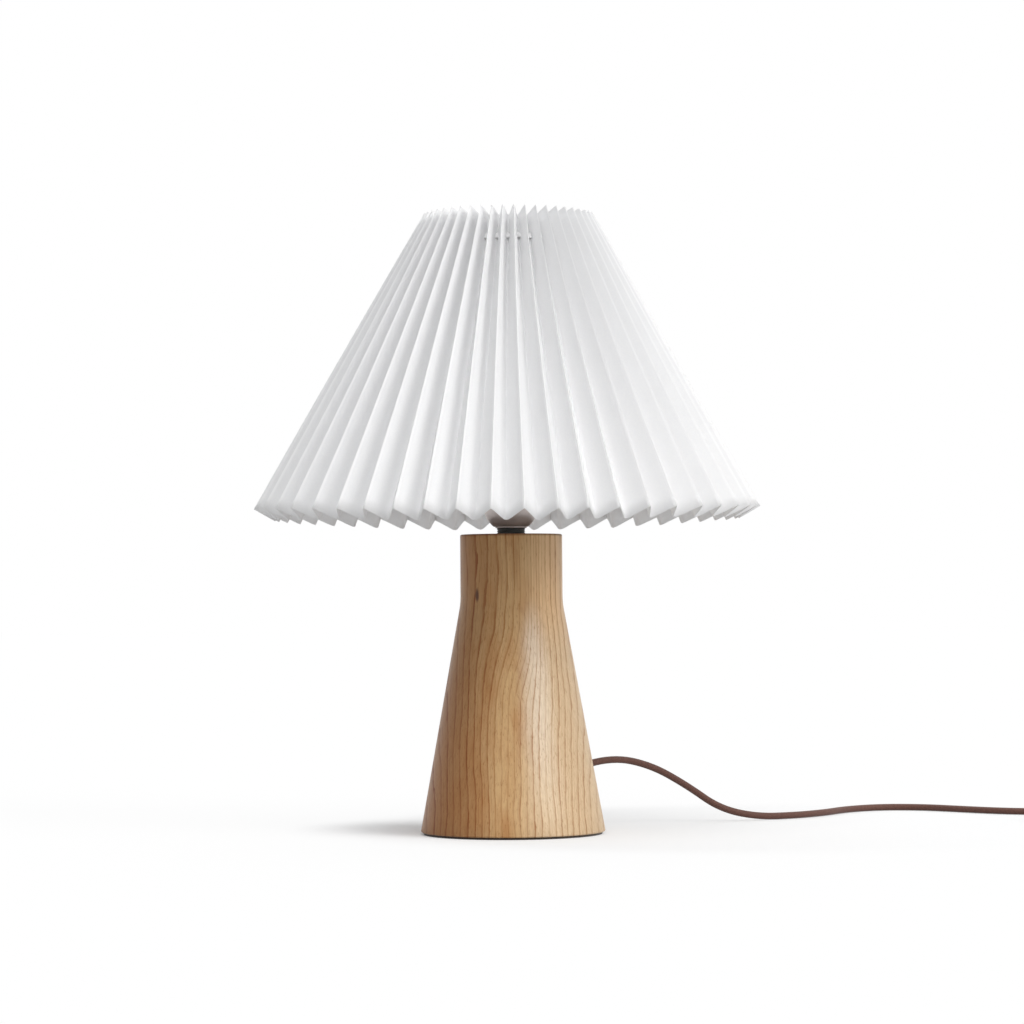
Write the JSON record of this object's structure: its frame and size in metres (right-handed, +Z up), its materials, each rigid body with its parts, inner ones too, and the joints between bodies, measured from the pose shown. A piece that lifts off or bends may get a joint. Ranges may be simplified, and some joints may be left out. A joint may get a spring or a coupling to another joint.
{
  "type": "pleated paper table lamp",
  "caption": "Table lamp with a turned wooden base, a pleated paper cone shade on a wire carrier, a screw-in bulb and a corded inline switch and plug.",
  "frame": {"origin": "middle of the underside of the foot, on the surface that the lamp stands on", "axes": "+Z up, -Y towards the viewer of the picture, +X to the viewer's right; the cord leaves the base at the back right"},
  "size_m": [0.6786, 0.3901, 0.434],
  "materials": {
    "oak": "satin",
    "felt": "matte",
    "iron": "matte",
    "zinc_steel": "satin",
    "black_metal": "satin",
    "gunmetal": "satin",
    "black_plastic": "matte",
    "ceramic": "matte",
    "brass": "satin",
    "white_wire": "satin",
    "paper": "matte",
    "ribbon": "satin",
    "bulb_white": "gloss",
    "bulb_globe": "satin",
    "bulb_cap": "satin",
    "led_plate": "satin",
    "cord_brown": "satin",
    "brown_plastic": "satin",
    "lead_brown": "satin",
    "lead_blue": "satin",
    "tie_black": "matte",
    "nickel": "satin"
  },
  "bodies": {
    "lamp": {"base_wood": "oak", "base_felt": "felt", "ballast_ring": "iron", "ballast_screws": "zinc_steel", "threaded_rod": "zinc_steel", "rod_washer": "zinc_steel", "rod_nut": "zinc_steel", "lock_nut": "zinc_steel", "neck_collar": "black_metal", "holder_cap": "gunmetal", "holder_skirt": "black_plastic", "holder_insert": "ceramic", "holder_thread_shell": "brass", "holder_contact": "brass", "holder_terminals": "brass", "terminal_screws": "zinc_steel", "shade_ring_lower": "black_plastic", "shade_ring_upper": "black_plastic", "cord_bush": "brown_plastic", "cord_inside": "cord_brown", "cord_grip": "black_plastic", "lead_brown": "lead_brown", "lead_blue": "lead_blue", "cord_to_switch": "cord_brown", "cord_to_coil": "cord_brown", "cord_coil": "cord_brown", "cord_to_plug": "cord_brown", "cord_tie": "tie_black", "switch_bottom": "brown_plastic", "switch_top": "brown_plastic", "switch_contacts": "brass", "switch_pivot": "zinc_steel", "switch_screws": "zinc_steel", "plug_body": "brown_plastic", "plug_pins": "nickel"},
    "carrier": {"carrier_ring": "white_wire", "carrier_arms": "white_wire", "carrier_hoop": "white_wire"},
    "shade": {"shade_paper": "paper", "shade_ribbon": "ribbon"},
    "bulb": {"bulb_contact": "black_plastic", "bulb_cap": "bulb_cap", "bulb_housing": "bulb_white", "bulb_led_plate": "led_plate", "bulb_globe": "bulb_globe"},
    "rocker": {"switch_rocker": "brown_plastic"}
  },
  "joints": [
    {"name": "carrier_turn", "type": "hinge", "parent": "lamp", "child": "carrier", "pos_m": [0, 0, 0.2548], "axis": [0, 0, 1], "continuous": true},
    {"name": "shade_lift", "type": "slide", "parent": "carrier", "child": "shade", "axis": [0, 0, 1], "range_m": [0, 0.2]},
    {"name": "bulb_out", "type": "slide", "parent": "lamp", "child": "bulb", "axis": [0, 0, 1], "range_m": [0, 0.2]},
    {"name": "rocker_tilt", "type": "hinge", "parent": "lamp", "child": "rocker", "pos_m": [0.415, 0.075, 0.0125], "axis": [1, 0, 0], "range_deg": [0, 15]}
  ]
}
